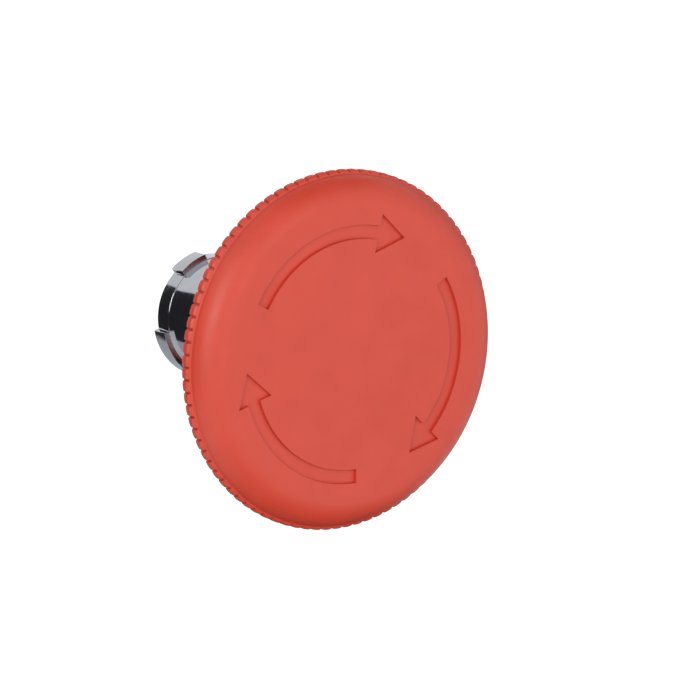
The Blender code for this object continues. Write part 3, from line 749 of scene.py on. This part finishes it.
def plunger_moulding():
    """A disc with a blind bore for the stem, and a bar with two marks on its end."""
    front, rear = PLUNGER_LOW.y, PLUNGER_HIGH.y
    disc_rear = front + 1.2
    disc_r = 7.6
    stem_r, ring_groove_r = 2.25, 2.8
    bm = bmesh.new()
    bore = [
        (stem_r, 12.8), (stem_r, 11.3), (ring_groove_r, 11.3), (ring_groove_r, 10.3),
        (stem_r, 10.3), (stem_r, front + 0.15), (stem_r + 0.15, front),
    ]
    disc = [
        (disc_r - 0.3, front), (disc_r - 0.08, front + 0.08), (disc_r, front + 0.3),
        (disc_r, disc_rear - 0.3), (disc_r - 0.08, disc_rear - 0.08), (disc_r - 0.3, disc_rear),
    ]
    rings = lathe_rings(bm, bore + disc, 96)
    strips(bm, rings)
    fill(bm, rings[0])
    bar = stadium(half_length=6.5, half_width=3.7)
    profile = [
        (0.15, disc_rear), (0.04, disc_rear + 0.04), (0.0, disc_rear + 0.15),
        (0.0, rear - 0.3), (-0.09, rear - 0.09), (-0.3, rear),
    ]
    bars = [loop_at(bm, grown(bar, out), y) for out, y in profile]
    strips(bm, bars)
    fill(bm, rings[-1], bars[0])
    marks = []
    for x in (-4.4, 4.4):
        outline = circle(0.8, 24, (x, 0.0))
        marks.append(pocket(bm, outline, rear, rear - 0.06, lip=0.03, foot=0.02))
    fill(bm, bars[-1], *marks)
    mesh = mesh_of(bm, "plunger_moulding")
    return piece(mesh, "plunger_moulding", "pusher", "contact_plunger", GREY)


def coil_path(mean_r, y_start, y_end, turns, steps_per_turn, start_deg):
    """Points of a helix whose end turns lie nearly flat."""
    total = round(turns * steps_per_turn)
    dead = steps_per_turn * 0.75
    even = 0.12                 # share of the rise that every turn takes alike
    points = []
    for i in range(total + 1):
        t = min(max((i - dead) / (total - 2.0 * dead), 0.0), 1.0)
        y = y_start + (y_end - y_start) * (t * (1.0 - even) + i / total * even)
        x, z = polar(mean_r, start_deg + 360.0 * i / steps_per_turn)
        points.append((x, y, z))
    return points


def spring_coils():
    """The two springs inside the head, as fixed coils of wire that ride on the fixed body."""
    for name, node, mean_r, wire_r, turns, start in (
        ("return_spring_coil", "return_spring", 6.3, 0.45, 5.5, 0.0),
        ("torsion_spring_coil", "torsion_spring", 4.4, 0.32, 6.5, 180.0),
    ):
        ends = (WASHER_REAR_Y + wire_r + 0.06, SPRING_REAR_Y - wire_r)
        path = coil_path(mean_r, *ends, turns, 36, start)
        mesh = mesh_of(tube(path, wire_r, sides=12), name)
        coil = piece(mesh, name, "fixed_body", node, SPRING)
        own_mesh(coil)


def carried_over():
    """Procedural finishes for the CAD nodes that stay as they are, inside the head."""
    finishes = {
        "stem": STEEL, "hub_screw": STEEL, "screw_washer": STEEL, "drive_pin": STEEL,
        "cap_clip": SPRING, "stem_e_clip": SPRING,
        "plunger_snap_ring": SPRING, "latch_ring_spring": SPRING,
        "thrust_washer": BRASS, "latch_pin_a": BRASS, "latch_pin_b": BRASS, "latch_pin_c": BRASS,
        "cam_sleeve": GREY, "guide_bush": BLACK, "stem_o_ring": RUBBER,
    }
    for node, finish in finishes.items():
        frame["nodes"][node].data.materials.clear()
        frame["nodes"][node].data.materials.append(finish)


# ---------------------------------------------------------------- studio

ORIGIN = (0.0, 0.0, 0.0)
FLOOR_Z = -0.45
FLOOR_SIZE = 14.0
CARD_BLACK = (0.012, 0.012, 0.016)
CARD_DIM = (0.35, 0.36, 0.38)
CARD_GREY = (0.62, 0.64, 0.67)
WARM_WHITE = (1.0, 0.97, 0.93)


def softbox(name, place, size, power):
    """A square lamp that faces the origin. Places and sizes in the studio are in metres."""
    data = bpy.data.lights.new(name, "AREA")
    data.shape = "RECTANGLE"
    data.size = size
    data.size_y = size
    data.energy = power
    data.color = WARM_WHITE
    light = bpy.data.objects.new(name, data)
    light.location = place
    light.rotation_euler = (-Vector(place)).to_track_quat("-Z", "Y").to_euler()
    light.visible_camera = False
    bpy.context.scene.collection.objects.link(light)


def plain(name, colour, emission=0.0):
    """A matt finish for the floor and the cards, which may glow white."""
    mat = bpy.data.materials.new(name)
    mat.use_nodes = True
    shader = mat.node_tree.nodes["Principled BSDF"]
    shader.inputs["Base Color"].default_value = (*colour, 1.0)
    shader.inputs["Roughness"].default_value = 0.9
    shader.inputs["Emission Color"].default_value = (1.0, 1.0, 1.0, 1.0)
    shader.inputs["Emission Strength"].default_value = emission
    return mat


def panel(name, place, aim, width, height, finish):
    """A flat rectangle that faces a point, as a floor or a studio card."""
    mesh = bpy.data.meshes.new(name)
    w, h = width / 2.0, height / 2.0
    mesh.from_pydata([(-w, -h, 0), (w, -h, 0), (w, h, 0), (-w, h, 0)], [], [(0, 1, 2, 3)])
    mesh.materials.append(finish)
    obj = bpy.data.objects.new(name, mesh)
    obj.location = place
    obj.rotation_euler = (Vector(aim) - Vector(place)).to_track_quat("Z", "Y").to_euler()
    bpy.context.scene.collection.objects.link(obj)
    return obj


def studio():
    """A pale floor, two lamps, and cards that only the pieces see: the dark ones give the
    plated barrel something to mirror, and those marked lit also hold back soft light."""
    world = bpy.data.worlds.new("studio_white")
    world.use_nodes = True
    background = world.node_tree.nodes["Background"]
    background.inputs["Color"].default_value = (0.97, 0.985, 1.0, 1.0)
    background.inputs["Strength"].default_value = 0.85
    bpy.context.scene.world = world
    bpy.context.scene.view_settings.view_transform = "Standard"
    floor_white = plain("floor_white", (0.5, 0.5, 0.5), emission=0.75)
    panel("floor", (0.0, 0.0, FLOOR_Z), ORIGIN, FLOOR_SIZE, FLOOR_SIZE, floor_white)
    black = plain("card_black", CARD_BLACK)
    dim = plain("card_dim", CARD_DIM)
    grey = plain("card_grey", CARD_GREY)
    for name, place, width, height, finish, lit in (
        ("card_behind_left", (-0.46, 0.63, -0.0275), 0.42, 0.775, black, True),
        ("card_by_camera", (-0.62, -0.90, -0.10), 0.42, 0.50, black, False),
        ("card_front_left", (-0.95, -0.50, 0.0), 0.70, 0.90, black, False),
        ("card_far_left", (-0.95, 0.90, 0.0), 0.60, 0.75, black, False),
        ("card_left", (-0.95, 0.25, 0.0), 1.20, 0.90, black, True),
        ("card_right", (0.90, 0.40, 0.0), 1.0, 1.0, dim, False),
        ("card_above", (0.25, -0.10, 0.78), 0.90, 0.80, black, True),
        ("card_below", (0.05, 0.0, -0.42), 1.10, 0.80, black, True),
    ):
        card = panel(name, place, ORIGIN, width, height, finish)
        card.visible_camera = False
        card.visible_diffuse = lit
    sheet = panel("grey_sheet", (0.0, 0.92, FLOOR_Z + 0.01), (0.0, 0.92, 0.0), 1.8, 0.9, grey)
    sheet.visible_camera = False
    sheet.visible_diffuse = False
    sheet.visible_shadow = False
    softbox("key_softbox", (-0.44, -0.36, 0.16), size=0.26, power=1.05)
    softbox("front_softbox", (0.20, -1.05, 0.28), size=0.35, power=0.9)


AZIMUTH_DEG = -34.49
ELEVATION_DEG = 11.59
DISTANCE = 0.6398                   # metres from the middle of the cap's face
SIDESTEP = (-0.000787, 0.000827)    # metres to the right and up, without turning
LENS = 201.758                      # focal length in millimetres


def camera():
    """A long lens that looks at the cap's face from the front, left and above."""
    a, e = math.radians(AZIMUTH_DEG), math.radians(ELEVATION_DEG)
    back = Vector((math.sin(a) * math.cos(e), -math.cos(a) * math.cos(e), math.sin(e)))
    right = Vector((math.cos(a), math.sin(a), 0.0))
    up = back.cross(right)
    face_centre = Vector((0.0, mm(FACE_Y), 0.0))
    data = bpy.data.cameras.new("camera")
    data.lens = LENS
    data.clip_start = 0.01
    data.clip_end = 50.0
    obj = bpy.data.objects.new("camera", data)
    obj.location = face_centre + back * DISTANCE + right * SIDESTEP[0] + up * SIDESTEP[1]
    obj.rotation_euler = Matrix((right, up, back)).transposed().to_euler()
    bpy.context.scene.collection.objects.link(obj)
    bpy.context.scene.camera = obj


cap_moulding()
bezel_casting()
gasket_ring()
wiper_lip_seal()
hub_moulding()
cover_plate()
circlip_ring()
plunger_moulding()
spring_coils()
carried_over()
studio()
camera()
